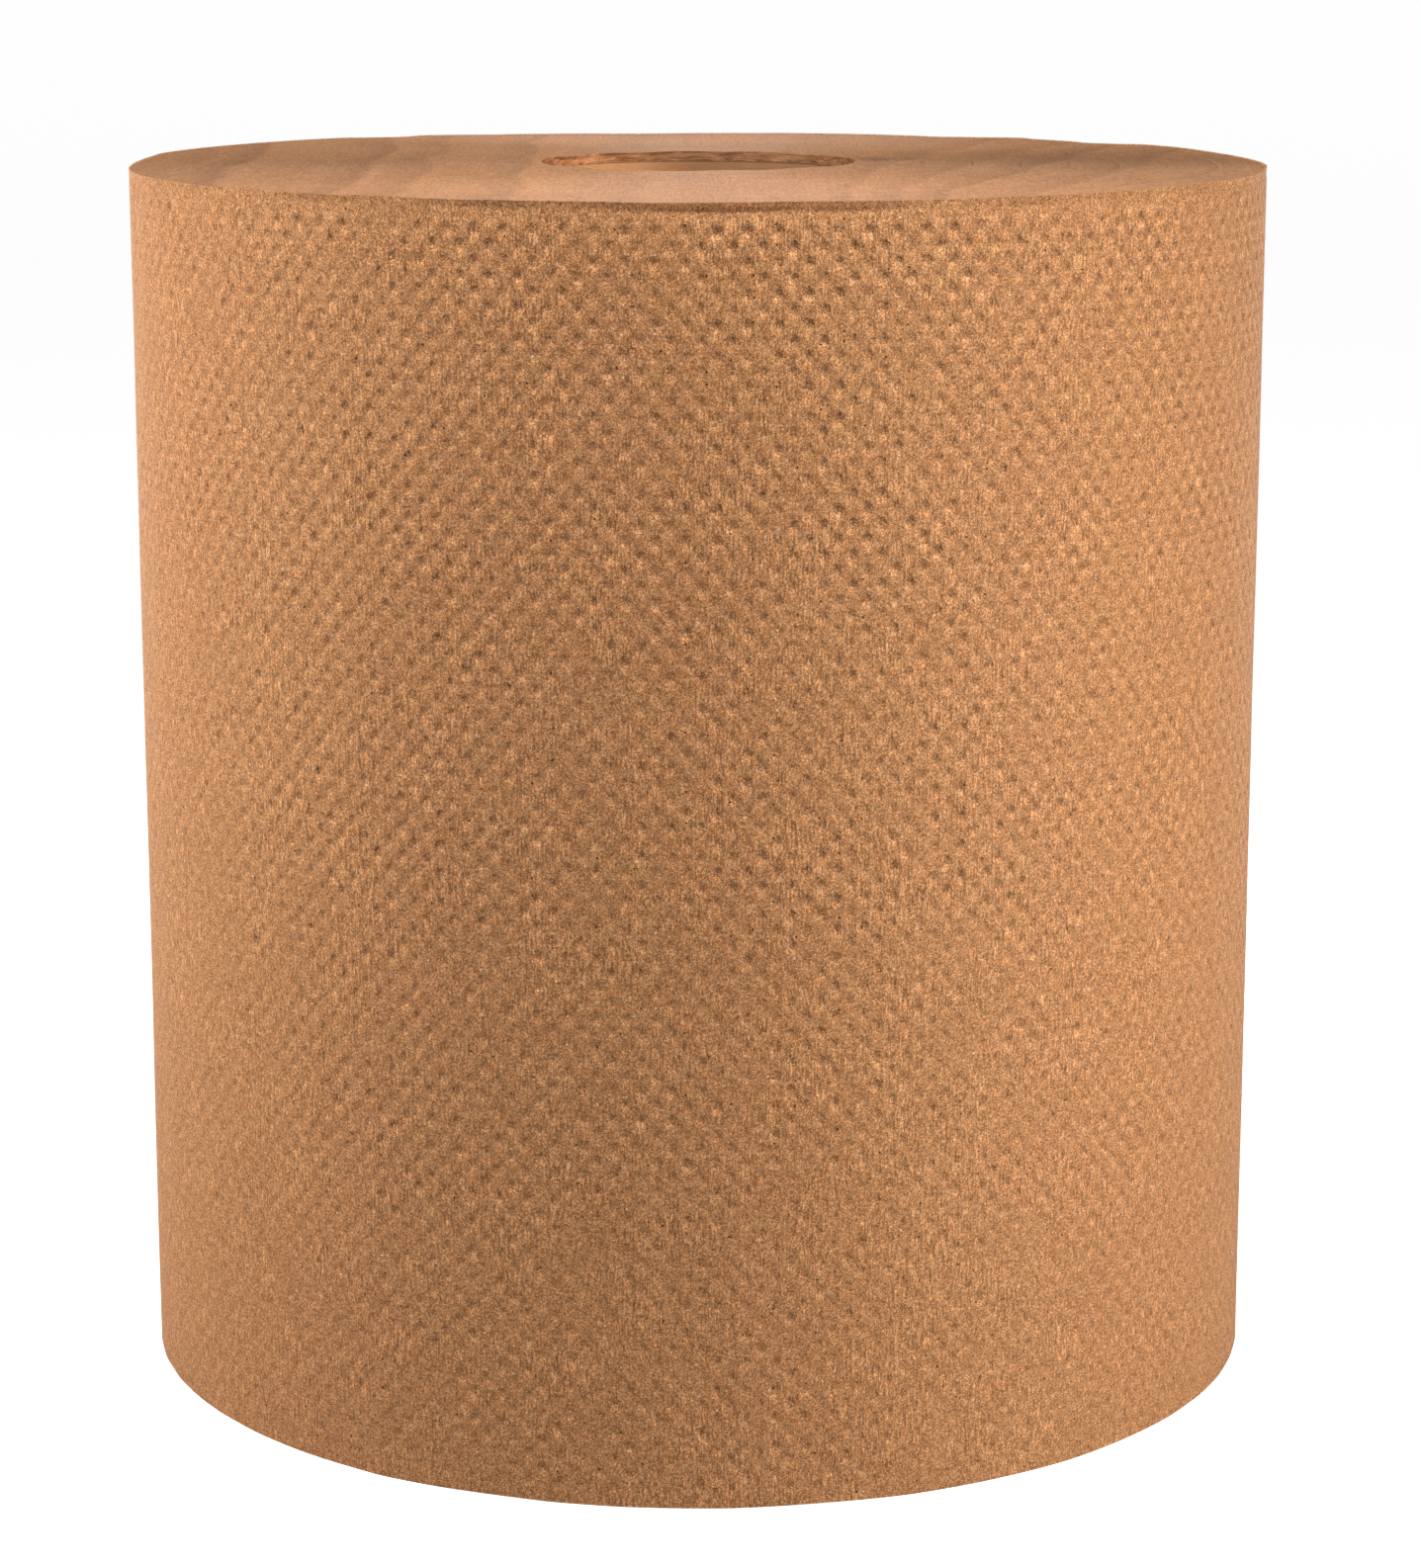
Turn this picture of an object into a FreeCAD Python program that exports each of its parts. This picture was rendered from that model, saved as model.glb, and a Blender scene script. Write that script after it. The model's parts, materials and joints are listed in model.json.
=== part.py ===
"""A hardwound paper towel roll: one long web of brown paper wound on a cardboard core tube.

Millimetres, +Z up along the roll's axis. The origin is the centre of the lower cut end, on which the
roll stands. Seen from above, the web winds outwards anticlockwise, and its loose end is at the back.
"""

import FreeCAD
import Part
import math
import os

# Driving dimensions
web_width = 200.0          # width of the paper, which is the height of the standing roll
roll_diameter = 187.5      # twice the greatest radius, which the last turn reaches at its loose end
sheet_thickness = 0.3      # one embossed ply, which is the step at the loose end
core_bore = 50.0           # inside diameter of the core tube
core_wall = 1.0            # thickness of the core's spiral-wound board
core_recess = 1.5          # how far each end of the core lies below the cut end of the paper
loose_end_azimuth = 60.0   # where the outermost turn stops, in degrees from +X

# Lines between bundles of turns, which show on both cut ends as one spiral
turn_line_pitch = 8.0      # from one line to the next, along a radius
turn_line_width = 0.5
turn_line_depth = 0.25
inner_margin = 5.0         # plain paper between the core and the spiral's start
outer_margin = 3.0         # least plain paper between the spiral and the wall

# Worked out from the dimensions above
roll_radius = roll_diameter / 2
core_inner_radius = core_bore / 2
core_outer_radius = core_inner_radius + core_wall
core_length = web_width - 2 * core_recess
line_start_radius = core_outer_radius + inner_margin
line_room = roll_radius - sheet_thickness - outer_margin - line_start_radius
line_half_turns = max(1, math.floor(2 * line_room / turn_line_pitch))

UP = FreeCAD.Vector(0, 0, 1)
TO_LOOSE_END = FreeCAD.Vector(
    math.cos(math.radians(loose_end_azimuth)), math.sin(math.radians(loose_end_azimuth)), 0
)
QUARTER_ON = UP.cross(TO_LOOSE_END)


def spiral(start_radius, growth_per_turn, half_turns, offset=0.0):
    """Half circles that wind outwards from two centres, each running on smoothly from the last.

    The first starts at start_radius on the loose end's side. An offset moves the whole line outwards.
    """
    step = growth_per_turn / 2
    edges = []
    for k in range(half_turns):
        on_second_centre = k % 2 == 1
        centre = TO_LOOSE_END * (step if on_second_centre else 0.0)
        outwards = TO_LOOSE_END * (-1 if on_second_centre else 1)
        sideways = QUARTER_ON * (-1 if on_second_centre else 1)
        radius = start_radius + k * step + offset
        arc = Part.Arc(
            centre + outwards * radius, centre + sideways * radius, centre - outwards * radius
        )
        edges.append(arc.toShape())
    return edges


def closed_face(edges):
    """A flat face inside edges that meet end to end."""
    return Part.Face(Part.Wire(Part.__sortEdges__(edges)))


def paper_web():
    """All the turns of paper as one solid, with the step of the loose end and the lines on both ends."""
    wall = spiral(roll_radius - sheet_thickness, sheet_thickness, half_turns=2)
    loose_edge = Part.makeLine(
        TO_LOOSE_END * roll_radius, TO_LOOSE_END * (roll_radius - sheet_thickness)
    )
    wound = closed_face(wall + [loose_edge]).extrude(UP * web_width)
    bore = Part.makeCylinder(core_outer_radius, web_width)
    line = turn_line()
    top_line = line.translated(UP * (web_width - turn_line_depth))
    return wound.cut(bore).cut(line).cut(top_line)


def turn_line():
    """The spiral line's groove as a solid on the plane z = 0, to be cut from a flat end."""
    half_width = turn_line_width / 2
    inner = spiral(line_start_radius, turn_line_pitch, line_half_turns, offset=-half_width)
    outer = spiral(line_start_radius, turn_line_pitch, line_half_turns, offset=half_width)
    start_cap = Part.makeLine(inner[0].firstVertex().Point, outer[0].firstVertex().Point)
    end_cap = Part.makeLine(inner[-1].lastVertex().Point, outer[-1].lastVertex().Point)
    return closed_face(inner + outer + [start_cap, end_cap]).extrude(UP * turn_line_depth)


def core_tube():
    """The cardboard tube on which the web is wound and glued."""
    foot = UP * core_recess
    tube = Part.makeCylinder(core_outer_radius, core_length, foot)
    return tube.cut(Part.makeCylinder(core_inner_radius, core_length, foot))


def single_solid(name, shape):
    """The shape's only solid, or an error that names the piece."""
    if len(shape.Solids) != 1 or not shape.isValid():
        raise ValueError(f"{name} is not one valid solid")
    return shape.Solids[0]


os.makedirs("parts", exist_ok=True)
for name, build in {"paper_web": paper_web, "core_tube": core_tube}.items():
    piece = single_solid(name, build())
    piece.exportStep(f"parts/{name}.step")
    box = piece.BoundBox
    print(f"{name}: {piece.Volume / 1000:.1f} cubic centimetres")
    print(f"  {box.XLength:.2f} x {box.YLength:.2f} x {box.ZLength:.2f} mm")
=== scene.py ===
"""Looks of a hardwound paper towel roll: brown embossed paper on an open cardboard core, on its end.

The wound paper is shown in two pieces. The outer turn is the last turn of the sheet, with its embossed
dimples, its cut edges and its loose end at the back. The wound body is every turn inside it, with the
two cut ends and the hole for the core. Lengths in the mesh code are in millimetres.
"""

import json
import math

import bpy
import numpy as np
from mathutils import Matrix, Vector


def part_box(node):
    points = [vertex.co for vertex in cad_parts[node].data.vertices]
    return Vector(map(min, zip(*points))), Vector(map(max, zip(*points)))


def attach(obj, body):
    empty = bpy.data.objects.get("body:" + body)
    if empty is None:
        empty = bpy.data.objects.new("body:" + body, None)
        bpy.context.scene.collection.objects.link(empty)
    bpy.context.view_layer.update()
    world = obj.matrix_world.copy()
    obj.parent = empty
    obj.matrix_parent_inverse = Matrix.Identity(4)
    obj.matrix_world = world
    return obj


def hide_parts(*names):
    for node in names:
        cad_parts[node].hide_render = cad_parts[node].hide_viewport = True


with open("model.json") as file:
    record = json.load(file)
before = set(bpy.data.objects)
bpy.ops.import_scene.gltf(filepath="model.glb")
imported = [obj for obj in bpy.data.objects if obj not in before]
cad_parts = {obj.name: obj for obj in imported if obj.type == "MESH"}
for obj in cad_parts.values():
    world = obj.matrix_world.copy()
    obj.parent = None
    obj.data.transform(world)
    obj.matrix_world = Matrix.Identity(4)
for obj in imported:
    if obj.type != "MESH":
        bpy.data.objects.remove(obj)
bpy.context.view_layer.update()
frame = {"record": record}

MM = 0.001
TURN = 2 * math.pi

# Sizes that follow the solids
web_low, web_high = (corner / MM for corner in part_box("paper_web"))
core_low, core_high = (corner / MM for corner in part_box("core_tube"))
web_width = web_high.z - web_low.z
core_bore_radius = frame["record"]["mounts"][0]["dims"]["r_mm"]

# The sheet and how it is wound, as in the solids
sheet_thickness = 0.3
outer_radius = 93.75             # at the loose end
core_radius = 26.0               # outside the core, and inside the innermost turn
loose_end = math.radians(60.0)   # azimuth from +X
turn_line_pitch = 8.0
turn_line_start = 31.0           # radius at which the spiral line begins
turn_line_turns = 7.0
turn_line_depth = 0.25

# Embossing of the outer turn
dots_around = 131
row_steps = 87                   # from the foot line to the head line, which have no dots
foot_margin = 1.0                # paper below the foot line
head_margin = 2.4                # paper above the head line
dot_radius = 1.0
dot_depth = 0.16
dot_ring_share = 0.10            # how deep a dot already is at its ring of points
dot_lean = 0.3                   # how far a dot's deepest place lies above its middle
dot_skew = 0.35                  # how much steeper than its sides a dot's upper side is
dot_depth_at_foot = 0.4          # share of the depth that is left at the lower edge
weak_side = math.radians(-165)   # azimuth at which the dots are weakest
weak_spread = math.radians(36)
weak_share = 0.5                 # how much of the depth is lost there
patch_along = 0.08               # slow changes of the depth along the sheet, as a share
patch_up = 0.06                  # and up it
dot_spread = 0.28                # from dot to dot, as a share
weakest, strongest = 0.2, 1.7    # bounds of a dot's share of the depth
dot_shift = 0.1                  # how far a dot lies off its place
dot_size_spread = 0.08
ring_spread = 0.07               # how uneven a dot's outline is, as a share of its radius

# Relief of the outer turn and of the cut ends
wall_allowance = 0.15            # room left inside the solid's wall for the relief
lip_flare = 0.15                 # how far the upper cut edge is turned out where it is turned out most
lip_hollow = 0.7                 # how far the paper under the lip lies back there
lip_start = 0.5                  # share of the way up to the edge where the flare starts
lip_hollow_reach = 0.33          # half width of the hollow, as a share of that way
end_level = 0.58                 # mean depth of a cut end below the solid's
proud_edge = 0.1                 # how far the outer turn stands above the turns inside it
pit_room = 0.7                   # room behind the outer turn for its pressed dots
ripple_around = 0.045            # ripples of the wall round the roll
ripple_up = 0.03                 # and up it
ripple_lean = 0.04               # radians by which the ripples round the roll turn from foot to head
lip_everywhere = 0.08            # share by which the edge is turned out all round

rim_wave = 0.05                  # unevenness of a cut end at the rim
hole_wave = 0.06                 # and of the upper end round the hole
foot_hole_wave = 0.03            # and of the lower end there
foot_level = 0.12                # mean height of the lower end above the floor
saw_reach = 9.0                  # how far a saw mark's step spreads to each side
hole_rise = 0.42                 # how much higher the upper end is at the hole than at the rim
hole_rise_reach = 24.0
far_edge_rise = 0.12             # of the paper at the hole's far edge
far_edge_azimuth = math.radians(92)
far_edge_spread = math.radians(20)
far_edge_reach = 8.0
least_depth = 0.02               # by which the upper end stays below the solid's

rng = np.random.default_rng(20)


def waves(count, lowest, highest, fall=1.0):
    """A smooth random function of an angle, about 1 high, as [(times round, height, phase)]."""
    times = rng.integers(lowest, highest + 1, count)
    heights = rng.normal(size=count) / (times / lowest) ** fall
    heights /= np.sqrt((heights**2).sum() / 2)
    return list(zip(times, heights, rng.uniform(0, TURN, count)))


def wave_at(terms, angle):
    """The random function's value at an angle or an array of angles."""
    return sum(height * np.cos(times * angle + phase) for times, height, phase in terms)


def bump_at(offset, half_width):
    """A smooth hill, 1 high in the middle."""
    return np.exp(-((offset / half_width) ** 2))


def ledge_at(offset, half_width):
    """A smooth step from -0.5 to 0.5."""
    return 0.5 * np.tanh(offset / half_width)


def angle_between(a, b):
    """The turn from b to a, between half a turn each way."""
    return (a - b + math.pi) % TURN - math.pi


# Cut ends

rim_waves = waves(14, 2, 26, 0.6)
hole_waves = waves(10, 2, 14, 0.5)
foot_waves = waves(14, 2, 22, 0.6)

# Azimuth in degrees, height in mm and half width in degrees of what stands up or dips along the rim
rim_swells = [
    (164, 0.4, 9), (148, 0.48, 20), (125, 0.22, 14), (90, -0.1, 9), (60, -0.15, 7),
    (50, 0.15, 5), (42, -0.1, 5), (28, 0.3, 10),
]

# Saw marks of the upper end: a point on the mark (x, y), its direction in degrees, height and half width
saw_ledges = [
    ((-74.0, 0.0), 91.0, 0.16, 0.9),
    ((-51.7, 0.0), 90.5, 0.2, 1.0),
    ((-86.0, 0.0), 93.0, 0.1, 0.8),
    ((-63.0, 0.0), 89.5, -0.07, 1.2),
    ((-34.0, 0.0), 91.0, 0.07, 1.4),
    ((-17.0, 0.0), 90.0, -0.05, 1.2),
    ((12.0, 0.0), 89.0, 0.05, 1.3),
    ((47.0, 42.0), 66.0, -0.16, 1.1),
    ((59.0, 44.0), 64.0, -0.12, 1.2),
    ((36.0, 50.0), 70.0, 0.07, 1.4),
    ((74.0, -30.0), 88.0, 0.08, 1.2),
]


def along_rim(radius):
    """How much of the rim's shape reaches a radius: all of it at the rim, none near the core."""
    share = np.clip((radius - core_radius) / (outer_radius - core_radius), 0, 1)
    return share**2 * (3 - 2 * share)


def upper_end(x, y):
    """Height of the upper cut end at a point, in mm above the solid's."""
    azimuth = np.arctan2(y, x)
    radius = np.hypot(x, y)
    rim = along_rim(radius)
    height = -end_level + rim_wave * wave_at(rim_waves, azimuth) * rim
    for degrees, rise, spread in rim_swells:
        swell = bump_at(angle_between(azimuth, math.radians(degrees)), math.radians(spread))
        height = height + rise * swell * rim
    for (mark_x, mark_y), direction, rise, half_width in saw_ledges:
        lean = math.radians(direction)
        across = (x - mark_x) * math.sin(lean) - (y - mark_y) * math.cos(lean)
        height = height + rise * ledge_at(across, half_width) * bump_at(across, saw_reach)
    height = height + hole_wave * wave_at(hole_waves, azimuth) * (1 - rim)
    height = height + hole_rise * bump_at(radius - core_radius, hole_rise_reach)
    far_edge = bump_at(angle_between(azimuth, far_edge_azimuth), far_edge_spread)
    height = height + far_edge_rise * far_edge * bump_at(radius - core_radius, far_edge_reach)
    return np.minimum(height, -least_depth)


def lower_end(x, y):
    """Height of the lower cut end at a point, in mm above the floor. Its high places rest on the floor."""
    azimuth = np.arctan2(y, x)
    rim = along_rim(np.hypot(x, y))
    height = foot_level + rim_wave * wave_at(foot_waves, azimuth) * rim
    height = height + foot_hole_wave * wave_at(hole_waves, azimuth) * (1 - rim)
    return np.maximum(height, 0.0)


def end_height(x, y, upper):
    """Height above the floor of the upper or the lower cut end."""
    return web_high.z + upper_end(x, y) if upper else web_low.z + lower_end(x, y)


# Meshes

def new_piece(name, points_mm, faces, smooth_below=40.0):
    """A mesh object from points in millimetres, smooth but for edges sharper than that many degrees."""
    mesh = bpy.data.meshes.new(name)
    mesh.from_pydata([tuple(p) for p in np.asarray(points_mm) * MM], [], faces)
    mesh.validate()
    mesh.polygons.foreach_set("use_smooth", [True] * len(mesh.polygons))
    mesh.set_sharp_from_angle(angle=math.radians(smooth_below))
    mesh.update()
    piece = bpy.data.objects.new(name, mesh)
    bpy.context.scene.collection.objects.link(piece)
    return piece


class Sheet:
    """Points and faces of the outer turn laid flat: u along the sheet, v up, and depth into the roll."""

    def __init__(self):
        self.index = {}
        self.u, self.v, self.depth, self.on_ring, self.press = [], [], [], [], []
        self.faces = []

    def point(self, u, v, depth=0.0, on_ring=False, press=0.0):
        key = (round(u, 4), round(v, 4))
        if key not in self.index:
            self.index[key] = len(self.u)
            self.u.append(u)
            self.v.append(v)
            self.depth.append(depth)
            self.on_ring.append(on_ring)
            self.press.append(press)
        return self.index[key]

    def face(self, *corners):
        distinct = []
        for corner in corners:
            if corner not in distinct:
                distinct.append(corner)
        if len(distinct) > 2 and self.area(distinct) > 1e-6:
            self.faces.append(tuple(distinct))

    def area(self, corners):
        total = 0.0
        for a, b in zip(corners, corners[1:] + corners[:1]):
            total += self.u[a] * self.v[b] - self.u[b] * self.v[a]
        return total / 2


dot_pitch = TURN * (outer_radius - sheet_thickness) / dots_around
row_pitch = (web_width - foot_margin - head_margin) / row_steps
sheet_length = dot_pitch * dots_around
foot_line = web_low.z + foot_margin
head_line = foot_line + row_pitch * row_steps
dot_patches = waves(12, 3, 19, 0.4), waves(12, 2, 9, 0.4)


def dot_strength(u, v):
    """How strongly the dot at a place is pressed in: weaker towards the foot, and uneven from dot to dot."""
    up = (v - foot_line) / (head_line - foot_line)
    even = dot_depth_at_foot + (1 - dot_depth_at_foot) * up**0.8
    along, height = dot_patches
    patch = 1 + patch_along * wave_at(along, TURN * u / sheet_length + 0.9 * up)
    patch += patch_up * wave_at(height, TURN * up / 2)
    patch -= weak_share * bump_at(angle_between(azimuth_of(u), weak_side), weak_spread)
    return even * float(np.clip(patch * rng.normal(1.0, dot_spread), weakest, strongest))


def add_dot(sheet, u, v, strength, loose):
    """One dimple and its share of plain paper: a middle point, a ring of six, and four shared corners.

    A loose dot is uneven and a little off its place. Where the sheet's end runs through a dot, what
    lies beyond the end is folded back onto it.
    """
    shift_u, shift_v = rng.normal(0, dot_shift), rng.normal(0, dot_shift)
    size = rng.normal(1, dot_size_spread)
    if not loose:
        shift_u, shift_v, size = 0.0, 0.0, 1.0

    def at(du, dv, depth=0.0, on_ring=False):
        keep_u = min(max(u + du, 0.0), sheet_length)
        keep_v = min(max(v + dv, foot_line), head_line)
        return sheet.point(keep_u, keep_v, depth, on_ring, strength)

    depth = dot_depth * strength
    middle = at(shift_u, shift_v + (dot_lean if loose else 0.0), depth)
    ring = []
    for k in range(6):
        angle = TURN * k / 6
        reach = dot_radius * size * (1 + (rng.normal(0, ring_spread) if loose else 0.0))
        around_u, around_v = shift_u + reach * math.cos(angle), shift_v + reach * math.sin(angle)
        ring.append(at(around_u, around_v, depth * dot_ring_share, on_ring=True))
    right, up = at(dot_pitch / 2, 0), at(0, row_pitch)
    left, down = at(-dot_pitch / 2, 0), at(0, -row_pitch)
    for k in range(6):
        sheet.face(middle, ring[k], ring[(k + 1) % 6])
    for a, b, c in (
        (right, ring[1], ring[0]), (right, up, ring[1]), (up, ring[2], ring[1]),
        (up, left, ring[2]), (left, ring[3], ring[2]), (left, ring[4], ring[3]),
        (left, down, ring[4]), (down, ring[5], ring[4]), (down, right, ring[5]),
        (right, ring[0], ring[5]),
    ):
        sheet.face(a, b, c)


def add_plain_paper(sheet, u, v, upwards):
    """The share of plain paper of a place on the foot line or the head line, where no dot is pressed."""
    left, middle, right = (
        sheet.point(min(max(u + du, 0.0), sheet_length), v)
        for du in (-dot_pitch / 2, 0.0, dot_pitch / 2)
    )
    if upwards:
        tip = sheet.point(u, v + row_pitch)
        sheet.face(left, middle, tip)
        sheet.face(middle, right, tip)
    else:
        tip = sheet.point(u, v - row_pitch)
        sheet.face(middle, left, tip)
        sheet.face(right, middle, tip)


def embossed_sheet():
    """The outer turn's outside, laid flat between the foot line and the head line."""
    sheet = Sheet()
    for row in range(row_steps + 1):
        v = foot_line + row * row_pitch
        odd = row % 2 == 1
        for column in range(dots_around + (0 if odd else 1)):
            u = (column + (0.5 if odd else 0.0)) * dot_pitch
            if 0 < row < row_steps:
                loose = dot_pitch / 4 < u < sheet_length - dot_pitch / 4
                add_dot(sheet, u, v, dot_strength(u, v), loose)
            else:
                add_plain_paper(sheet, u, v, upwards=row == 0)
    return sheet


wall_waves = waves(16, 6, 60, 0.5), waves(10, 2, 14, 0.6)
lip_waves = waves(12, 3, 40, 0.3)

# Azimuth in degrees, share and half width in degrees of the places where the upper cut edge is turned out
lip_places = [
    (-90, 0.9, 8), (-78, 0.7, 7), (-127, 0.45, 5), (-108, 0.5, 3.5), (-59, 0.6, 3.5), (-45, 0.35, 8),
    (-28, 0.4, 7), (150, 0.5, 12), (30, 0.5, 9),
]


def lip_at(azimuth):
    """How far the upper cut edge is turned out at an azimuth, from 0 to 1."""
    reach = lip_everywhere + lip_everywhere * wave_at(lip_waves, azimuth)
    for degrees, share, spread in lip_places:
        place = bump_at(angle_between(azimuth, math.radians(degrees)), math.radians(spread))
        reach = reach + share * place
    return np.clip(reach, 0, 1)


def crisp_dots(mesh, on_ring):
    """Make each dimple's edge sharp: every edge that joins two points of a ring."""
    ends = np.empty(2 * len(mesh.edges), int)
    mesh.edges.foreach_get("vertices", ends)
    sharp = np.empty(len(mesh.edges), bool)
    mesh.edges.foreach_get("use_edge_sharp", sharp)
    sharp |= on_ring[ends[0::2]] & on_ring[ends[1::2]]
    mesh.edges.foreach_set("use_edge_sharp", sharp)


def azimuth_of(u):
    """Azimuth of a place along the outer turn, which starts and stops at the loose end."""
    return loose_end + TURN * u / sheet_length


def wall_radius(u, v):
    """Radius of the outer turn's outside before its dots, with slow ripples round the roll and up it."""
    share = u / sheet_length
    radius = outer_radius - sheet_thickness * (1 - share) - wall_allowance
    around, height = wall_waves
    up = (v - web_low.z) / web_width
    ripple = ripple_around * wave_at(around, azimuth_of(u) + ripple_lean * up)
    ripple = ripple + ripple_up * wave_at(height, TURN * up / 2 + 2 * share)
    return radius + ripple


lip_shares = (0.3, 0.6, 0.85, 1.0)   # places of the rings on the way from the head or foot line to the edge


def lip_profile(share):
    """How far the paper lies out from the wall where the lip is turned out most, from line to edge."""
    flare = lip_flare * max(0.0, (share - lip_start) / (1 - lip_start)) ** 1.5
    return flare - lip_hollow * bump_at(share - lip_start, lip_hollow_reach)


class Shell:
    """The outer turn in space: the embossed sheet, wrapped round, and the rings of its cut edges."""

    def __init__(self, sheet):
        self.u, self.v = np.array(sheet.u), np.array(sheet.v)
        azimuth = azimuth_of(self.u)
        radius = wall_radius(self.u, self.v) - np.array(sheet.depth)
        self.points = [np.column_stack((radius * np.cos(azimuth), radius * np.sin(azimuth), self.v))]
        self.on_ring, self.press = list(sheet.on_ring), list(sheet.press)
        self.faces = list(sheet.faces)

    def points_at(self, coordinate, place, order):
        """The sheet's points where one coordinate has a value, sorted by the other."""
        found = [i for i in range(len(coordinate)) if abs(coordinate[i] - place) < 1e-6]
        return sorted(found, key=lambda i: order[i])

    def add_ring(self, source, radii, heights):
        """Points beside those of the sheet, at other radii and heights."""
        start = sum(len(block) for block in self.points)
        around = azimuth_of(self.u[source])
        self.points.append(np.column_stack((radii * np.cos(around), radii * np.sin(around), heights)))
        self.on_ring.extend([False] * len(source))
        self.press.extend([0.0] * len(source))
        return list(range(start, start + len(source)))

    def join(self, lower, upper):
        for k in range(len(lower) - 1):
            self.faces.append((lower[k], lower[k + 1], upper[k + 1], upper[k]))

    def add_edge(self, is_upper):
        """A cut edge as rings, from the head or foot line over the edge and in behind the dots."""
        line = head_line if is_upper else foot_line
        source = self.points_at(self.v, line, self.u)
        around = azimuth_of(self.u[source])
        outside = wall_radius(self.u[source], np.full(len(source), line))
        edge_z = end_height(outside * np.cos(around), outside * np.sin(around), is_upper)
        if is_upper:
            edge_z = np.minimum(edge_z + proud_edge, web_high.z)
        lip = lip_at(around) if is_upper else 0.0
        rings = [source]
        for share in lip_shares:
            radii = outside + lip_profile(share) * lip
            rings.append(self.add_ring(source, radii, line + (edge_z - line) * share))
        inside = outside - sheet_thickness
        rings.append(self.add_ring(source, inside, edge_z))
        further_in = edge_z - pit_room if is_upper else edge_z + pit_room
        rings.append(self.add_ring(source, inside - pit_room, further_in))
        for lower, upper in zip(rings, rings[1:]):
            self.join(lower, upper) if is_upper else self.join(upper, lower)
        return rings

    def close_end(self, end_u, upper_rings, lower_rings):
        """The sheet's thickness where it starts or stops, as one face."""
        is_last = end_u > 0
        k = -1 if is_last else 0
        rising = self.points_at(self.u, end_u, self.v)
        above = [ring[k] for ring in upper_rings[1:]]
        below = [ring[k] for ring in lower_rings[1:]]
        outline = below[::-1] + rising + above
        self.faces.append(tuple(outline if is_last else outline[::-1]))


def outer_turn():
    """The last turn of the sheet, as a closed thin shell."""
    shell = Shell(embossed_sheet())
    upper_rings, lower_rings = shell.add_edge(True), shell.add_edge(False)
    shell.join(upper_rings[-1], lower_rings[-1])
    for end_u in (0.0, sheet_length):
        shell.close_end(end_u, upper_rings, lower_rings)
    piece = new_piece("outer_turn", np.vstack(shell.points), shell.faces)
    crisp_dots(piece.data, np.array(shell.on_ring))
    press = piece.data.attributes.new("press", "FLOAT", "POINT")
    press.data.foreach_set("value", shell.press)
    return piece


stations = 400                    # points round the wound body
body_gap = 0.04                   # between the wound body and the outer turn
line_offsets = (0.0, 0.3, 1.1, 2.0, 3.0, 4.0, 5.0, 6.0, 6.9, 7.7)   # mm outwards from the spiral line
hole_levels = (0.25, 0.6, 0.95, 1.25)   # mm below the cut end, on the paper above the core
hole_recess = 0.05                # how far that paper lies back
hole_roughness = 0.06
line_strength = waves(16, 2, 30, 0.3)
hole_mottle = [waves(30, 8, 90, 0.2) for _ in hole_levels]


def body_radius(station):
    """Radius of the wound body's outer wall, just inside the outer turn."""
    u = sheet_length * (station % stations) / stations
    return wall_radius(u, web_high.z) - sheet_thickness - body_gap


def end_face(upper, first_index):
    """One cut end, laid out along the spiral line: its points, faces, and inner and outer loops."""
    columns = len(line_offsets)
    turns_inside = math.ceil((turn_line_start - core_radius) / turn_line_pitch) + 1
    turns = turns_inside + math.ceil((outer_radius - turn_line_start) / turn_line_pitch) + 2
    steps, column = np.meshgrid(np.arange(turns * stations), np.arange(columns), indexing="ij")
    station = steps % stations
    rise = turn_line_pitch * (steps / stations - turns_inside)
    wanted = turn_line_start + rise + np.array(line_offsets)[column]
    radius = np.clip(wanted, core_radius, body_radius(station))
    azimuth = loose_end + TURN * station / stations
    x, y = radius * np.cos(azimuth), radius * np.sin(azimuth)
    on_line = (column == 0) & (rise >= 0) & (rise <= turn_line_pitch * turn_line_turns) & (radius == wanted)
    uneven = np.clip(0.6 + 0.25 * wave_at(line_strength, TURN * steps / stations), 0, 1)
    cut = turn_line_depth * uneven * on_line
    z = end_height(x, y, upper) + (-cut if upper else cut)

    keys = np.round(radius, 4)
    known, points, grid = {}, [], np.zeros(steps.shape, int)
    for step in range(steps.shape[0]):
        for k in range(columns):
            key = (int(station[step, k]), float(keys[step, k]))
            if key not in known:
                known[key] = first_index + len(points)
                points.append((x[step, k], y[step, k], z[step, k]))
            grid[step, k] = known[key]

    faces = []
    for step in range((turns - 1) * stations - 1):
        for k in range(columns):
            onward = (step, k + 1) if k + 1 < columns else (step + stations, 0)
            corners = grid[step, k], grid[onward], grid[onward[0] + 1, onward[1]], grid[step + 1, k]
            distinct = list(dict.fromkeys(int(corner) for corner in corners))
            if len(distinct) > 2:
                faces.append(tuple(distinct if upper else distinct[::-1]))
    rim = np.round(body_radius(np.arange(stations)), 4)
    inner = [known[(k, round(core_radius, 4))] for k in range(stations)]
    outer = [known[(k, float(rim[k]))] for k in range(stations)]
    return points, faces, inner, outer


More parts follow.
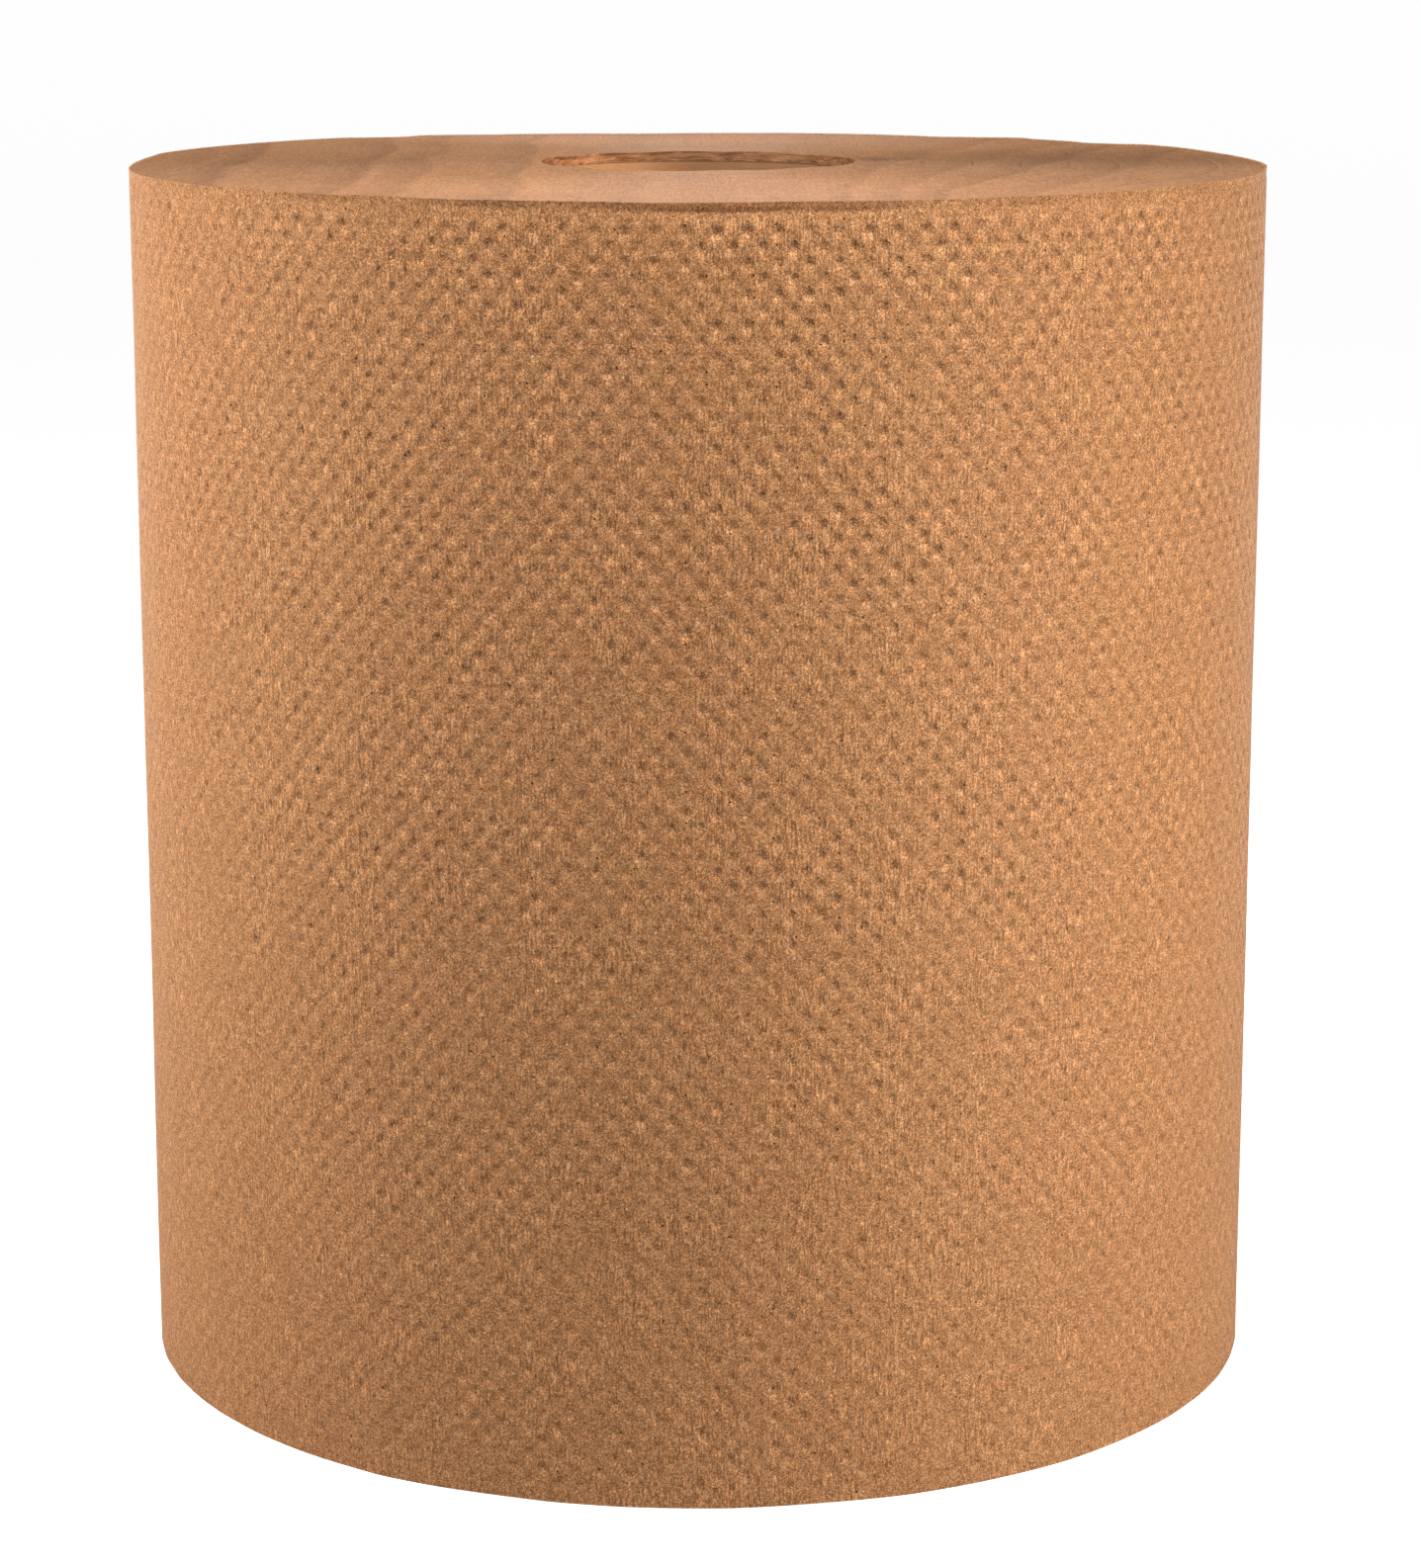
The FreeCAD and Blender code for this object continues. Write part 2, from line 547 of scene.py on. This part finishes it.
def wound_body():
    """Every turn but the last: two cut ends, the hole for the core, and a wall behind the outer turn."""
    points, upper_faces, upper_inner, upper_outer = end_face(True, 0)
    lower_points, lower_faces, lower_inner, lower_outer = end_face(False, len(points))
    points = points + lower_points
    azimuths = loose_end + TURN * np.arange(stations) / stations
    inner_faces = []

    def join(above, below, faces, outwards):
        for k in range(stations):
            n = (k + 1) % stations
            quad = (above[k], below[k], below[n], above[n])
            faces.append(quad if outwards else quad[::-1])

    def hole_ring(edge, depth, mottle):
        radii = core_radius + hole_recess + hole_roughness * wave_at(mottle, azimuths)
        heights = np.array([points[i][2] for i in edge]) - depth
        start = len(points)
        points.extend(zip(radii * np.cos(azimuths), radii * np.sin(azimuths), heights))
        return list(range(start, start + stations))

    def wall_ring(height):
        radii = body_radius(np.arange(stations)) - pit_room
        start = len(points)
        points.extend(zip(radii * np.cos(azimuths), radii * np.sin(azimuths), np.full(stations, height)))
        return list(range(start, start + stations))

    wall = [upper_outer, wall_ring(web_high.z - end_level - pit_room), wall_ring(pit_room), lower_outer]
    for above, below in zip(wall, wall[1:]):
        join(above, below, inner_faces, True)
    upper_ring, lower_ring = upper_inner, lower_inner
    for level, mottle in zip(hole_levels, hole_mottle):
        below = hole_ring(upper_inner, level, mottle)
        above = hole_ring(lower_inner, -level, mottle)
        join(upper_ring, below, inner_faces, False)
        join(above, lower_ring, inner_faces, False)
        upper_ring, lower_ring = below, above
    join(upper_ring, lower_ring, inner_faces, False)

    cut_faces = upper_faces + lower_faces
    piece = new_piece("wound_body", points, cut_faces + inner_faces, smooth_below=50.0)
    slots = [0] * len(cut_faces) + [1] * len(inner_faces)
    piece.data.polygons.foreach_set("material_index", slots)
    return piece


core_stations = 480
core_levels = 70
seam_lead = 128.0                # rise of the core's inner seam in one turn
seam_half_width = 0.35
seam_depth = 0.2
core_ply_recess = 0.06           # how far the bore lies inside the solid's wall
core_outside_recess = 0.02
core_end_recess = 0.1            # mean distance of the cut ends from the solid's
core_edge_roughness = 0.07
core_out_of_round = 0.06
core_edge_waves = waves(40, 5, 120, 0.2)
core_wall_waves = waves(12, 2, 9, 0.5)


def core_tube():
    """The spiral-wound cardboard tube, with the seam of its inner ply and slightly rough cut ends."""
    points, faces = [], []
    azimuths = TURN * np.arange(core_stations) / core_stations
    ragged = core_edge_roughness * wave_at(core_edge_waves, azimuths)
    out_of_round = core_out_of_round * wave_at(core_wall_waves, azimuths)
    levels = core_low.z + (core_high.z - core_low.z) * np.linspace(0, 1, core_levels)

    def ring(radii, heights):
        start = len(points)
        points.extend(zip(radii * np.cos(azimuths), radii * np.sin(azimuths), heights))
        return list(range(start, start + core_stations))

    rings = []
    for level in levels:
        near_end = min(level - core_low.z, core_high.z - level) < 0.01
        seam = angle_between(azimuths, TURN * level / seam_lead) * core_bore_radius
        groove = seam_depth * bump_at(seam, seam_half_width)
        radii = core_bore_radius + core_ply_recess + groove + out_of_round
        heights = np.full(core_stations, level)
        if near_end:
            down = -core_end_recess + ragged
            heights = heights + np.where(level > web_width / 2, down, -down)
        rings.append(ring(radii, heights))
    outside = np.full(core_stations, core_radius - core_outside_recess)
    outside_top = ring(outside, levels[-1] - core_end_recess + ragged)
    outside_foot = ring(outside, levels[0] + core_end_recess - ragged)
    loop = rings + [outside_top, outside_foot, rings[0]]
    for lower, upper in zip(loop, loop[1:]):
        for k in range(core_stations):
            n = (k + 1) % core_stations
            faces.append((upper[k], upper[n], lower[n], lower[k]))
    return new_piece("core", points, faces, smooth_below=50.0)


# Materials

class Graph:
    """A material's nodes, made by short calls. Each call returns the output socket of its node."""

    def __init__(self, name):
        self.material = bpy.data.materials.new(name)
        self.material.use_nodes = True
        self.nodes = self.material.node_tree.nodes
        self.links = self.material.node_tree.links
        self.nodes.clear()

    def node(self, kind, **settings):
        made = self.nodes.new(kind)
        for key, value in settings.items():
            setattr(made, key, value)
        return made

    def feed(self, socket, value):
        if isinstance(value, bpy.types.NodeSocket):
            self.links.new(value, socket)
        elif socket.type == "RGBA":
            socket.default_value = (*value, 1.0)
        else:
            socket.default_value = value

    def math(self, operation, a, b=0.0, c=0.0):
        made = self.node("ShaderNodeMath", operation=operation)
        for socket, value in zip(made.inputs, (a, b, c)):
            self.feed(socket, value)
        return made.outputs[0]

    def vector(self, operation, a, b, c=(0.0, 0.0, 0.0)):
        made = self.node("ShaderNodeVectorMath", operation=operation)
        for socket, value in zip(made.inputs, (a, b, c)):
            self.feed(socket, value)
        return made.outputs[0]

    def length(self, vector):
        made = self.node("ShaderNodeVectorMath", operation="LENGTH")
        self.feed(made.inputs[0], vector)
        return made.outputs["Value"]

    def position_mm(self):
        place = self.node("ShaderNodeTexCoord").outputs["Object"]
        return self.vector("MULTIPLY", place, (1000.0, 1000.0, 1000.0))

    def parts(self, vector):
        made = self.node("ShaderNodeSeparateXYZ")
        self.feed(made.inputs[0], vector)
        return made.outputs[0], made.outputs[1], made.outputs[2]

    def combine(self, x, y, z):
        made = self.node("ShaderNodeCombineXYZ")
        for socket, value in zip(made.inputs, (x, y, z)):
            self.feed(socket, value)
        return made.outputs[0]

    def noise(self, vector, scale, detail=2.0, roughness=0.5, distortion=0.0):
        made = self.node("ShaderNodeTexNoise", noise_dimensions="3D")
        self.feed(made.inputs["Vector"], vector)
        made.inputs["Scale"].default_value = scale
        made.inputs["Detail"].default_value = detail
        made.inputs["Roughness"].default_value = roughness
        made.inputs["Distortion"].default_value = distortion
        return made.outputs["Fac"]

    def ridges(self, value, half_width):
        """Thin winding lines where a noise value is near its middle: 1 on the line, 0 beside it."""
        return self.ramp(self.math("ABSOLUTE", self.math("SUBTRACT", value, 0.5)), half_width, 0.0)

    def soft_spot(self, place, middle, reach):
        """A soft round place seen along the axis: 1 in its middle and 0 from its edge on."""
        scale = (1 / reach[0], 1 / reach[1], 0.0)
        start = (-middle[0] / reach[0], -middle[1] / reach[1], 0.0)
        return self.ramp(self.length(self.vector("MULTIPLY_ADD", place, scale, start)), 1.0, 0.0)

    def ramp(self, value, low, high, to_low=0.0, to_high=1.0):
        made = self.node("ShaderNodeMapRange", interpolation_type="SMOOTHSTEP")
        for socket, entry in zip(made.inputs, (value, low, high, to_low, to_high)):
            self.feed(socket, entry)
        return made.outputs[0]

    def stops(self, value, stops):
        """A shade that runs straight from one (place, shade) to the next."""
        made = self.node("ShaderNodeValToRGB")
        self.feed(made.inputs[0], value)
        elements = made.color_ramp.elements
        for element, (place, shade) in zip(elements, (stops[0], stops[-1])):
            element.position = place
            element.color = (shade, shade, shade, 1.0)
        for place, shade in stops[1:-1]:
            elements.new(place).color = (shade, shade, shade, 1.0)
        return made.outputs["Color"]

    def centred(self, value, gain):
        """A noise value about 0.5 as a factor about 1."""
        return self.math("MULTIPLY_ADD", self.math("SUBTRACT", value, 0.5), gain, 1.0)

    def tint(self, colour, factor):
        made = self.node("ShaderNodeVectorMath", operation="SCALE")
        self.feed(made.inputs[0], colour)
        self.feed(made.inputs["Scale"], factor)
        return made.outputs[0]

    def mix(self, factor, a, b):
        made = self.node("ShaderNodeMix", data_type="RGBA")
        self.feed(made.inputs["Factor"], factor)
        self.feed(made.inputs[6], a)
        self.feed(made.inputs[7], b)
        return made.outputs[2]

    def bump(self, height, distance):
        made = self.node("ShaderNodeBump")
        made.inputs["Strength"].default_value = 1.0
        made.inputs["Distance"].default_value = distance
        self.feed(made.inputs["Height"], height)
        return made.outputs[0]

    def finish(self, colour, normal, roughness, specular, across_rings=0.0):
        shader = self.node("ShaderNodeBsdfPrincipled")
        self.feed(shader.inputs["Base Color"], colour)
        self.feed(shader.inputs["Normal"], normal)
        shader.inputs["Roughness"].default_value = roughness
        shader.inputs["Specular IOR Level"].default_value = specular
        if across_rings:
            shader.inputs["Anisotropic"].default_value = across_rings
            around = self.node("ShaderNodeTangent", direction_type="RADIAL", axis="Z")
            self.links.new(around.outputs[0], shader.inputs["Tangent"])
        output = self.node("ShaderNodeOutputMaterial")
        self.links.new(shader.outputs[0], output.inputs["Surface"])
        return self.material


wall_brown = (0.476, 0.204, 0.077)
pale_brown = (0.85, 0.46, 0.22)
dark_brown = (0.15, 0.052, 0.015)
cut_brown = (0.39, 0.188, 0.087)
core_brown = (0.50, 0.25, 0.11)
speck_brown = (0.07, 0.026, 0.010)
pale_fibre = (0.80, 0.58, 0.38)
inner_dark = (0.24, 0.105, 0.042)
inner_pale = (0.54, 0.26, 0.115)


def scattered(graph, flat, scale, share, reach, seed):
    """Small marks, 1 inside and 0 outside: one in each chosen cell of a random pattern on a flat map."""
    cells = graph.node("ShaderNodeTexVoronoi", voronoi_dimensions="2D", feature="F1")
    graph.feed(cells.inputs["Vector"], graph.vector("ADD", flat, (seed, seed, 0.0)))
    cells.inputs["Scale"].default_value = scale
    chance = graph.parts(cells.outputs["Color"])[0]
    chosen = graph.math("LESS_THAN", chance, share)
    near = graph.ramp(cells.outputs["Distance"], reach, reach * 0.5, 0.0, 1.0)
    return graph.math("MULTIPLY", chosen, near)


def flat_wall_map(graph, place):
    """Millimetres along the wall and up it, with the map's own edge at the loose end."""
    x, y, z = graph.parts(place)
    turned = loose_end - math.pi
    cosine, sine = math.cos(turned), math.sin(turned)
    along_x = graph.math("ADD", graph.math("MULTIPLY", x, cosine), graph.math("MULTIPLY", y, sine))
    along_y = graph.math("SUBTRACT", graph.math("MULTIPLY", y, cosine), graph.math("MULTIPLY", x, sine))
    around = graph.math("MULTIPLY", graph.math("ARCTAN2", along_y, along_x), outer_radius)
    return graph.combine(around, z, 0.0)


def dot_distance(graph, flat):
    """Distance in mm along the sheet to the deepest place of the nearest dot, more above it than below."""
    start = (sheet_length / 2, -foot_line - dot_lean, 0.0)
    on_sheet = graph.vector("MULTIPLY_ADD", flat, (sheet_length / (TURN * outer_radius), 1.0, 0.0), start)
    high, low = (dot_pitch / 2, row_pitch, 1.0), (-dot_pitch / 2, -row_pitch, -1.0)
    even_rows = graph.vector("WRAP", on_sheet, high, low)
    odd_rows = graph.vector("WRAP", graph.vector("ADD", on_sheet, (high[0], high[1], 0.0)), high, low)
    reaches = [
        graph.math("MULTIPLY_ADD", graph.parts(rows)[1], dot_skew, graph.length(rows))
        for rows in (even_rows, odd_rows)
    ]
    return graph.math("MINIMUM", *reaches)


rib_shade = 1.15                 # how much the crepe's ribs lighten and darken the paper
rib_height = 0.09
pit_depth = 0.26                 # extra depth of the dots in the paper's fine relief
painted_light_below = 0.3                 # painted light: how much paler the paper is painted just below a dot's deepest place, where its lower side would catch light from above
painted_shade_inside = 0.22               # painted shade: how much darker it is painted in that place
below_dot = 1.2                  # mm from the one place to the other
fray = 0.7                       # how far the fibres roughen a dot's outline


def brown_paper():
    """The embossed sheet: fibre grain, crepe ribs that run up it, pressed dots, each painted paler below and
    darker inside as light from above would show it, specks and stray fibres.
    """
    graph = Graph("brown_paper")
    place = graph.position_mm()
    flat = flat_wall_map(graph, place)
    fibre_field = graph.noise(place, 2.5, 1.0, 0.5, 0.8)
    pale_fibres = graph.ridges(fibre_field, 0.11)
    shifted = graph.vector("ADD", place, (37.0, 11.0, 5.0))
    dark_fibres = graph.ridges(graph.noise(shifted, 2.6, 1.0, 0.5, 0.8), 0.10)
    crepe = graph.noise(graph.vector("MULTIPLY", place, (1.0, 1.0, 0.15)), 3.5, 0.0)
    patches = graph.noise(place, 0.11, 2.0, 0.6)
    crepe_patch = graph.ramp(patches, 0.4, 0.62, 0.3, 1.0)
    ribs = graph.math("MULTIPLY", graph.math("SUBTRACT", crepe, 0.5), crepe_patch)

    press = graph.node("ShaderNodeAttribute", attribute_name="press").outputs["Fac"]
    rough_edge = graph.math("MULTIPLY", fibre_field, fray)
    ragged = graph.math("ADD", rough_edge, dot_distance(graph, flat))
    # Painted light and shade of the dots: the paper just below each dot's deepest place is painted paler, as
    # if lit from above, and the place itself darker, as if in shade
    below = graph.vector("ADD", flat, (0.0, below_dot, 0.0))
    ragged_below = graph.math("ADD", rough_edge, dot_distance(graph, below))
    painted_light_side = graph.math("MULTIPLY", graph.ramp(ragged_below, 1.5, 0.5), press)
    painted_shade_side = graph.math("MULTIPLY", graph.ramp(ragged, 1.1, 0.4), press)

    rib_tone = graph.math("MULTIPLY_ADD", ribs, rib_shade, 1.0)
    shade = graph.math("MULTIPLY", rib_tone, graph.centred(patches, 0.16))
    dot_painted_tone = graph.math("MULTIPLY_ADD", painted_light_side, painted_light_below, 1.0)
    dot_painted_tone = graph.math("MULTIPLY_ADD", painted_shade_side, -painted_shade_inside, dot_painted_tone)
    shade = graph.math("MULTIPLY", shade, dot_painted_tone)
    colour = graph.mix(graph.math("MULTIPLY", pale_fibres, 0.9), wall_brown, pale_brown)
    colour = graph.mix(graph.math("MULTIPLY", dark_fibres, 0.8), colour, dark_brown)
    colour = graph.tint(colour, shade)
    colour = graph.mix(scattered(graph, flat, 0.3, 0.1, 0.07, 3.0), colour, speck_brown)
    colour = graph.mix(scattered(graph, flat, 0.22, 0.05, 0.05, 71.0), colour, pale_fibre)
    long_map = graph.vector("MULTIPLY", flat, (0.28, 1.0, 0.0))
    hairs = graph.math("MULTIPLY", scattered(graph, long_map, 0.3, 0.05, 0.05, 19.0), 0.7)
    colour = graph.mix(hairs, colour, speck_brown)

    pits = graph.math("MULTIPLY", graph.ramp(ragged, 1.45, 0.45), press)
    sunk = graph.math("MULTIPLY", pits, -pit_depth)
    height = graph.math("MULTIPLY_ADD", graph.math("MULTIPLY", crepe, crepe_patch), rib_height, sunk)
    normal = graph.bump(height, MM)
    return graph.finish(colour, normal, 0.75, 0.1)


# Painted shade and painted light of the cut ends: the left and right painted darker and the front and back
# paler, as the light falls on them, and smaller darker places beside the hole; middle (x, y), half widths
# (x, y) and share of the shade
end_painted_shading = [
    ((66.0, 12.0), (60.0, 44.0), -0.34),
    ((-64.0, 6.0), (48.0, 40.0), -0.22),
    ((32.0, 6.0), (14.0, 8.0), -0.2),
    ((0.0, -62.0), (110.0, 38.0), 0.24),
    ((1.0, -60.0), (19.0, 34.0), -0.18),
    ((-14.0, 74.0), (85.0, 34.0), 0.26),
    ((31.0, -8.0), (8.0, 2.4), -0.25),
    ((28.5, 2.0), (5.0, 8.0), -0.22),
    ((-30.0, -3.0), (5.0, 5.0), -0.14),
]

# Marks that the saw left across the upper end, with their light and shade painted as their steps would be
# lit: distance in mm from the axis, and strength
saw_marks = [
    (-84.0, 0.5), (-76.0, 1.0), (-55.0, 1.0), (-45.0, 0.7), (-28.0, 0.8), (-10.0, 0.3),
    (33.0, 0.7), (46.0, 0.6), (58.0, 0.9), (73.0, 0.6),
]


saw_map_width = 200.0            # mm across the end, in the map of the marks' painted shade
saw_painted_shade_side = 6.0              # mm over which the painted shade darkens up to a line
saw_painted_light_side = 1.4              # from the line to the palest painted light beyond it


def saw_painted_shade(graph, place):
    """Painted shade and painted light of the saw's marks, as their steps would be lit. Each darkens slowly
    up to its line and is pale just beyond it.
    """
    x, y = graph.parts(place)[:2]
    lean = graph.ramp(x, 0.0, 45.0, 0.0, 0.3)
    wander = graph.math("MULTIPLY", graph.math("SUBTRACT", graph.noise(place, 0.025, 1.0), 0.5), 10.0)
    across = graph.math("ADD", graph.math("SUBTRACT", x, graph.math("MULTIPLY", y, lean)), wander)
    stops = [(0.0, 0.5), (1.0, 0.5)]
    for line, strength in saw_marks:
        stops += [
            ((line - saw_painted_shade_side) / saw_map_width + 0.5, 0.5),
            (line / saw_map_width + 0.5, 0.5 - 0.5 * strength),
            ((line + saw_painted_light_side) / saw_map_width + 0.5, 0.5 + 0.3 * strength),
        ]
    return graph.stops(graph.math("MULTIPLY_ADD", across, 1 / saw_map_width, 0.5), sorted(stops))


def cut_paper():
    """The sawn ends: pale, with fine rings of cut turns, straight saw marks and a stipple of fibre ends, and
    with painted shade and painted light: darker sides, paler front and back, and the lit and shaded sides of
    the saw's marks.
    """
    graph = Graph("cut_paper")
    place = graph.position_mm()
    x, y, z = graph.parts(place)
    radius = graph.length(graph.combine(x, y, 0.0))
    slow_x, slow_y = graph.math("MULTIPLY", x, 0.02), graph.math("MULTIPLY", y, 0.02)
    round_axis = graph.combine(radius, slow_x, slow_y)
    rings = graph.noise(round_axis, 2.4, 3.0, 0.65)
    bands = graph.noise(round_axis, 0.35, 2.0, 0.5)
    saw = graph.noise(graph.combine(x, graph.math("MULTIPLY", y, 0.03), z), 0.3, 3.0, 0.6, 0.2)
    stipple = graph.noise(graph.vector("MULTIPLY", place, (1.0, 0.09, 1.0)), 2.6, 2.0, 0.6, 0.4)
    blotch = graph.noise(place, 0.035, 2.0, 0.5)

    shade = graph.centred(rings, 0.2)
    # The last of these is the saw marks' painted shade and light
    for value, gain in (
        (stipple, 1.1), (saw, 0.2), (bands, 0.08), (blotch, 0.2), (saw_painted_shade(graph, place), 0.34),
    ):
        shade = graph.math("MULTIPLY", shade, graph.centred(value, gain))
    # Painted shade and painted light of the ends, from the list above
    painted_end_tone = 1.0
    for middle, reach, share in end_painted_shading:
        painted_end_tone = graph.math("MULTIPLY_ADD", graph.soft_spot(place, middle, reach), share, painted_end_tone)
    colour = graph.tint(cut_brown, graph.math("MULTIPLY", shade, painted_end_tone))
    height = graph.math("MULTIPLY", rings, 0.06)
    height = graph.math("MULTIPLY_ADD", stipple, 0.05, height)
    height = graph.math("MULTIPLY_ADD", saw, 0.25, height)
    normal = graph.bump(height, MM)
    return graph.finish(colour, normal, 0.7, 0.12, across_rings=0.8)


def inner_turns():
    """The innermost turns of paper, above the core: rough, mottled and a little darker, painted paler on the
    hole's -x side where light falls on it.
    """
    graph = Graph("inner_turns")
    place = graph.position_mm()
    x = graph.parts(place)[0]
    mottle = graph.noise(graph.vector("MULTIPLY", place, (0.3, 0.3, 2.0)), 0.8, 4.0, 0.7, 0.6)
    grain = graph.noise(place, 3.0, 3.0, 0.6)
    colour = graph.mix(graph.ramp(mottle, 0.35, 0.65), inner_dark, inner_pale)
    # Painted light: paler towards -x, on the side of the hole that the light falls on, and darker towards +x
    shade = graph.math("MULTIPLY", graph.centred(grain, 0.6), graph.ramp(x, -22.0, -3.0, 1.9, 0.85))
    colour = graph.tint(colour, shade)
    height = graph.math("MULTIPLY_ADD", grain, 0.06, graph.math("MULTIPLY", mottle, 0.15))
    return graph.finish(colour, graph.bump(height, MM), 0.8, 0.25)


def core_board():
    """Smooth cardboard with fibres that follow the spiral of its plies, painted paler on its -x side where
    light falls, and painted dark at its top edge for the shade in the gap to the paper.
    """
    graph = Graph("core_board")
    place = graph.position_mm()
    x, _, z = graph.parts(place)
    fibres = graph.noise(graph.vector("MULTIPLY", place, (0.35, 0.35, 1.0)), 1.8, 4.0, 0.65, 0.5)
    blotch = graph.noise(place, 0.2, 3.0, 0.6)
    shade = graph.math("MULTIPLY", graph.centred(fibres, 0.4), graph.centred(blotch, 0.25))
    # Painted light: paler towards -x, where the light falls inside the hole
    shade = graph.math("MULTIPLY", shade, graph.ramp(x, -20.0, 2.0, 2.2, 0.78))
    # Painted shade: the top edge darker, for the shade in the gap between core and paper
    painted_gap_shade = graph.ramp(z, core_high.z - 0.4, core_high.z - 0.2, 1.0, 0.45)
    colour = graph.tint(core_brown, graph.math("MULTIPLY", shade, painted_gap_shade))
    return graph.finish(colour, graph.bump(graph.math("MULTIPLY", fibres, 0.06), MM), 0.7, 0.35)


# The roll

paper, cut, inner, board = brown_paper(), cut_paper(), inner_turns(), core_board()

turn = outer_turn()
turn.data.materials.append(paper)
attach(turn, "root")
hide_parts("paper_web")

body = wound_body()
body.data.materials.append(cut)
body.data.materials.append(inner)
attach(body, "root")
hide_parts("paper_web")

core = core_tube()
core.data.materials.append(board)
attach(core, "root")
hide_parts("core_tube")


# Floor, light and camera

floor_size = 8.0
backdrop_distance = 3.0


def white_stage():
    """A white floor that runs up into a white backdrop, plain white to the camera but for shadow."""
    graph = Graph("white_stage")
    path = graph.node("ShaderNodeLightPath")
    seen = graph.math("MAXIMUM", path.outputs["Is Camera Ray"], path.outputs["Is Glossy Ray"])
    seen = graph.math("MAXIMUM", seen, path.outputs["Is Transmission Ray"])
    dim, white = graph.node("ShaderNodeBsdfDiffuse"), graph.node("ShaderNodeBsdfDiffuse")
    dim.inputs["Color"].default_value = (0.4, 0.4, 0.4, 1.0)
    white.inputs["Color"].default_value = (0.9, 0.9, 0.9, 1.0)
    glow = graph.node("ShaderNodeEmission")
    glow.inputs["Strength"].default_value = 0.93
    glow.inputs["Color"].default_value = (1.0, 1.0, 1.0, 1.0)
    both = graph.node("ShaderNodeAddShader")
    graph.links.new(white.outputs[0], both.inputs[0])
    graph.links.new(glow.outputs[0], both.inputs[1])
    choose = graph.node("ShaderNodeMixShader")
    graph.feed(choose.inputs[0], seen)
    graph.links.new(dim.outputs[0], choose.inputs[1])
    graph.links.new(both.outputs[0], choose.inputs[2])
    output = graph.node("ShaderNodeOutputMaterial")
    graph.links.new(choose.outputs[0], output.inputs["Surface"])
    graph.material.cycles.emission_sampling = "NONE"
    return graph.material


def stage():
    """The floor and the backdrop as one sheet, curved where they meet."""
    half, bend, height, bend_steps = floor_size / 2, 0.8, 3.0, 12
    profile = [(-half, 0.0), (backdrop_distance - bend, 0.0)]
    for k in range(1, bend_steps + 1):
        angle = math.pi / 2 * k / bend_steps
        profile.append((backdrop_distance - bend + bend * math.sin(angle), bend - bend * math.cos(angle)))
    profile.append((backdrop_distance, height))
    points = [(side * half / MM, y / MM, z / MM) for y, z in profile for side in (-1, 1)]
    faces = [(2 * k, 2 * k + 1, 2 * k + 3, 2 * k + 2) for k in range(len(profile) - 1)]
    sheet = new_piece("stage", points, faces, smooth_below=60.0)
    sheet.data.materials.append(white_stage())


def beside(azimuth, distance, height):
    """A place beside the roll, in metres. Azimuth 0 is on the camera's side, positive to the right."""
    turned = math.radians(azimuth)
    return Vector((distance * math.sin(turned), -distance * math.cos(turned), height))


def lamp(name, place, aim, width, length, power):
    """A soft rectangular lamp that shines from a place towards another."""
    data = bpy.data.lights.new(name, "AREA")
    data.shape = "RECTANGLE"
    data.size = width
    data.size_y = length
    data.energy = power
    made = bpy.data.objects.new(name, data)
    made.location = place
    made.rotation_euler = (aim - place).to_track_quat("-Z", "Y").to_euler()
    made.visible_camera = False
    bpy.context.scene.collection.objects.link(made)


# Name, azimuth, distance, height, height it shines at, width, length and power
lamps = [
    ("over_front", 0, 0.18, 0.50, 0.1, 0.16, 0.10, 1.26),
    ("right_front", 52, 0.40, 0.13, 0.1, 0.18, 0.25, 1.05),
    ("right_side", 65, 0.50, 0.13, 0.1, 0.25, 0.25, 0.12),
    ("left_side", -71, 0.40, 0.13, 0.1, 0.25, 0.25, 0.20),
    ("left_high", -73, 0.38, 0.22, 0.19, 0.18, 0.20, 0.98),
    ("over_back", 180, 0.16, 0.48, 0.1, 0.16, 0.10, 0.30),
    ("back_right", 140, 0.50, 0.10, 0.1, 0.25, 0.25, 0.6),
    ("back_left", -140, 0.50, 0.10, 0.1, 0.25, 0.25, 0.6),
]


def lights():
    """Soft lamps at both sides and over the roll's front, three behind, and a dim even surround."""
    for name, azimuth, distance, height, aim_height, width, length, power in lamps:
        lamp(name, beside(azimuth, distance, height), Vector((0.0, 0.0, aim_height)), width, length, power)
    world = bpy.data.worlds.new("surround")
    world.use_nodes = True
    background = world.node_tree.nodes["Background"]
    background.inputs["Color"].default_value = (1.0, 1.0, 1.0, 1.0)
    background.inputs["Strength"].default_value = 0.06
    bpy.context.scene.world = world


camera_distance = 704.5          # from the roll's axis
camera_height = 242.1
camera_pitch = 11.846           # degrees down
camera_turn = 0.17               # degrees to the right
camera_lens = 96.7               # mm, for a long side of 36 mm


def camera():
    """The camera, where the photograph's was."""
    data = bpy.data.cameras.new("camera")
    data.sensor_width = 36.0
    data.lens = camera_lens
    made = bpy.data.objects.new("camera", data)
    made.location = (0.0, -camera_distance * MM, camera_height * MM)
    made.rotation_euler = (math.radians(90 - camera_pitch), 0.0, -math.radians(camera_turn))
    bpy.context.scene.collection.objects.link(made)
    bpy.context.scene.camera = made


stage()
lights()
camera()
bpy.context.scene.view_settings.view_transform = "Standard"
